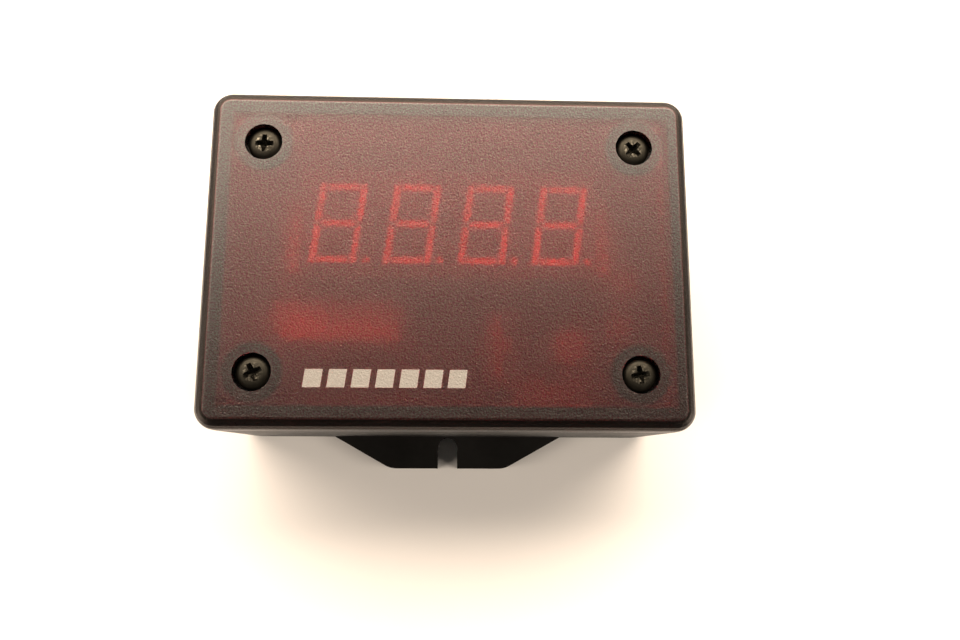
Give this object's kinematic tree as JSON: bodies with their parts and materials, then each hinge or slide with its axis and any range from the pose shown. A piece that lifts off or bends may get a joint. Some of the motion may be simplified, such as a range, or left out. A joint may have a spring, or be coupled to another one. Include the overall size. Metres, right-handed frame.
{
  "type": "taxi meter display",
  "caption": "Flanged wall box with a row of slanted LED digits behind a screwed-on red window cover, with its boards, terminal block and cable entry.",
  "frame": {"origin": "middle of the flat back of the case", "axes": "+X along the row of digits, +Y up the display, +Z out of the display's front; the case lies on its back"},
  "size_m": [0.0824, 0.0698, 0.035],
  "materials": {
    "black_abs": "fine satin moulding, near black",
    "red_window": "translucent red with a fine spark-eroded texture",
    "black_screw": "black oxide, worn bright at the recess",
    "steel": "zinc plated",
    "digit_grey": "dark grey face over a moulded box",
    "digit_resin": "diffusing red resin, unlit",
    "rubber": "matt black",
    "circuit_board": "green solder mask on glass epoxy",
    "black_moulding": "black moulded epoxy or nylon",
    "terminal_grey": "light grey polyamide",
    "brass": "plain",
    "tinned": "tinned",
    "aluminium": "plain sheet",
    "capacitor_sleeve": "dark blue heat-shrunk sleeve",
    "network_coat": "dipped coating",
    "button_grey": "dark grey",
    "trimmer_blue": "blue moulding",
    "trimmer_white": "off-white"
  },
  "bodies": {
    "case": {"rear_case": "black_abs", "board_screw_1": "steel", "digit_1_housing": "digit_grey", "digit_1_segments": "digit_resin", "board_screw_2": "steel", "digit_2_housing": "digit_grey", "digit_2_segments": "digit_resin", "board_screw_3": "steel", "digit_3_housing": "digit_grey", "digit_3_segments": "digit_resin", "board_screw_4": "steel", "digit_4_housing": "digit_grey", "digit_4_segments": "digit_resin", "regulator_screw": "steel", "cable_grommet": "rubber", "main_board": "circuit_board", "display_board": "circuit_board", "socket_strip_left": "black_moulding", "header_strip_left": "black_moulding", "socket_strip_right": "black_moulding", "header_strip_right": "black_moulding", "terminal_housing": "terminal_grey", "terminal_contact_1": "tinned", "terminal_contact_2": "tinned", "terminal_contact_3": "tinned", "terminal_contact_4": "tinned", "terminal_contact_5": "tinned", "terminal_contact_6": "tinned", "heat_sink": "aluminium", "regulator": "black_moulding", "capacitor": "capacitor_sleeve", "microcontroller": "black_moulding", "led_driver": "black_moulding", "resistor_network": "network_coat", "reverse_diode": "black_moulding", "set_button_body_1": "black_moulding", "set_button_body_2": "black_moulding", "trimmer_body": "trimmer_blue"},
    "cover": {"front_cover": "red_window"},
    "cover_screw_1": {"cover_screw_1": "black_screw"},
    "cover_screw_2": {"cover_screw_2": "black_screw"},
    "cover_screw_3": {"cover_screw_3": "black_screw"},
    "cover_screw_4": {"cover_screw_4": "black_screw"},
    "set_button_1": {"set_button_stem_1": "button_grey"},
    "set_button_2": {"set_button_stem_2": "button_grey"},
    "trimmer_rotor": {"trimmer_rotor": "trimmer_white"},
    "terminal_screw_1": {"terminal_screw_1": "steel"},
    "terminal_clamp_1": {"terminal_clamp_1": "brass"},
    "terminal_screw_2": {"terminal_screw_2": "steel"},
    "terminal_clamp_2": {"terminal_clamp_2": "brass"},
    "terminal_screw_3": {"terminal_screw_3": "steel"},
    "terminal_clamp_3": {"terminal_clamp_3": "brass"},
    "terminal_screw_4": {"terminal_screw_4": "steel"},
    "terminal_clamp_4": {"terminal_clamp_4": "brass"},
    "terminal_screw_5": {"terminal_screw_5": "steel"},
    "terminal_clamp_5": {"terminal_clamp_5": "brass"},
    "terminal_screw_6": {"terminal_screw_6": "steel"},
    "terminal_clamp_6": {"terminal_clamp_6": "brass"}
  },
  "joints": [
    {"name": "cover_lift", "type": "slide", "parent": "case", "child": "cover", "axis": [0, 0, 1], "range_m": [0, 0.04]},
    {"name": "cover_screw_turn_1", "type": "hinge", "parent": "cover", "child": "cover_screw_1", "pos_m": [-0.0319, 0.0198, 0.03245], "axis": [0, 0, 1], "continuous": true},
    {"name": "cover_screw_turn_2", "type": "hinge", "parent": "cover", "child": "cover_screw_2", "pos_m": [0.0319, 0.0198, 0.03245], "axis": [0, 0, 1], "continuous": true},
    {"name": "cover_screw_turn_3", "type": "hinge", "parent": "cover", "child": "cover_screw_3", "pos_m": [-0.0319, -0.0198, 0.03245], "axis": [0, 0, 1], "continuous": true},
    {"name": "cover_screw_turn_4", "type": "hinge", "parent": "cover", "child": "cover_screw_4", "pos_m": [0.0319, -0.0198, 0.03245], "axis": [0, 0, 1], "continuous": true},
    {"name": "set_button_press_1", "type": "slide", "parent": "case", "child": "set_button_1", "axis": [0, 0, -1], "range_m": [0, 0.00025], "stiffness_N_per_m": 2000, "springref_m": -0.0003},
    {"name": "set_button_press_2", "type": "slide", "parent": "case", "child": "set_button_2", "axis": [0, 0, -1], "range_m": [0, 0.00025], "stiffness_N_per_m": 2000, "springref_m": -0.0003},
    {"name": "trimmer_turn", "type": "hinge", "parent": "case", "child": "trimmer_rotor", "pos_m": [0.0331, 0, 0.0155], "axis": [0, 0, 1], "range_deg": [-135, 135]},
    {"name": "terminal_screw_turn_1", "type": "hinge", "parent": "case", "child": "terminal_screw_1", "pos_m": [-0.02865, -0.0091, 0.01745], "axis": [0, 0, -1], "range_deg": [0, 1080]},
    {"name": "terminal_clamp_rise_1", "type": "slide", "parent": "case", "child": "terminal_clamp_1", "axis": [0, 0, 1], "range_m": [0, 0.0012]},
    {"name": "terminal_screw_turn_2", "type": "hinge", "parent": "case", "child": "terminal_screw_2", "pos_m": [-0.02515, -0.0091, 0.01745], "axis": [0, 0, -1], "range_deg": [0, 1080]},
    {"name": "terminal_clamp_rise_2", "type": "slide", "parent": "case", "child": "terminal_clamp_2", "axis": [0, 0, 1], "range_m": [0, 0.0012]},
    {"name": "terminal_screw_turn_3", "type": "hinge", "parent": "case", "child": "terminal_screw_3", "pos_m": [-0.02165, -0.0091, 0.01745], "axis": [0, 0, -1], "range_deg": [0, 1080]},
    {"name": "terminal_clamp_rise_3", "type": "slide", "parent": "case", "child": "terminal_clamp_3", "axis": [0, 0, 1], "range_m": [0, 0.0012]},
    {"name": "terminal_screw_turn_4", "type": "hinge", "parent": "case", "child": "terminal_screw_4", "pos_m": [-0.01815, -0.0091, 0.01745], "axis": [0, 0, -1], "range_deg": [0, 1080]},
    {"name": "terminal_clamp_rise_4", "type": "slide", "parent": "case", "child": "terminal_clamp_4", "axis": [0, 0, 1], "range_m": [0, 0.0012]},
    {"name": "terminal_screw_turn_5", "type": "hinge", "parent": "case", "child": "terminal_screw_5", "pos_m": [-0.01465, -0.0091, 0.01745], "axis": [0, 0, -1], "range_deg": [0, 1080]},
    {"name": "terminal_clamp_rise_5", "type": "slide", "parent": "case", "child": "terminal_clamp_5", "axis": [0, 0, 1], "range_m": [0, 0.0012]},
    {"name": "terminal_screw_turn_6", "type": "hinge", "parent": "case", "child": "terminal_screw_6", "pos_m": [-0.01115, -0.0091, 0.01745], "axis": [0, 0, -1], "range_deg": [0, 1080]},
    {"name": "terminal_clamp_rise_6", "type": "slide", "parent": "case", "child": "terminal_clamp_6", "axis": [0, 0, 1], "range_m": [0, 0.0012]}
  ],
  "couplings": [
    {"joint": "terminal_screw_turn_1", "follows": "terminal_clamp_rise_1", "rad_per_m": 15708},
    {"joint": "terminal_screw_turn_2", "follows": "terminal_clamp_rise_2", "rad_per_m": 15708},
    {"joint": "terminal_screw_turn_3", "follows": "terminal_clamp_rise_3", "rad_per_m": 15708},
    {"joint": "terminal_screw_turn_4", "follows": "terminal_clamp_rise_4", "rad_per_m": 15708},
    {"joint": "terminal_screw_turn_5", "follows": "terminal_clamp_rise_5", "rad_per_m": 15708},
    {"joint": "terminal_screw_turn_6", "follows": "terminal_clamp_rise_6", "rad_per_m": 15708}
  ]
}
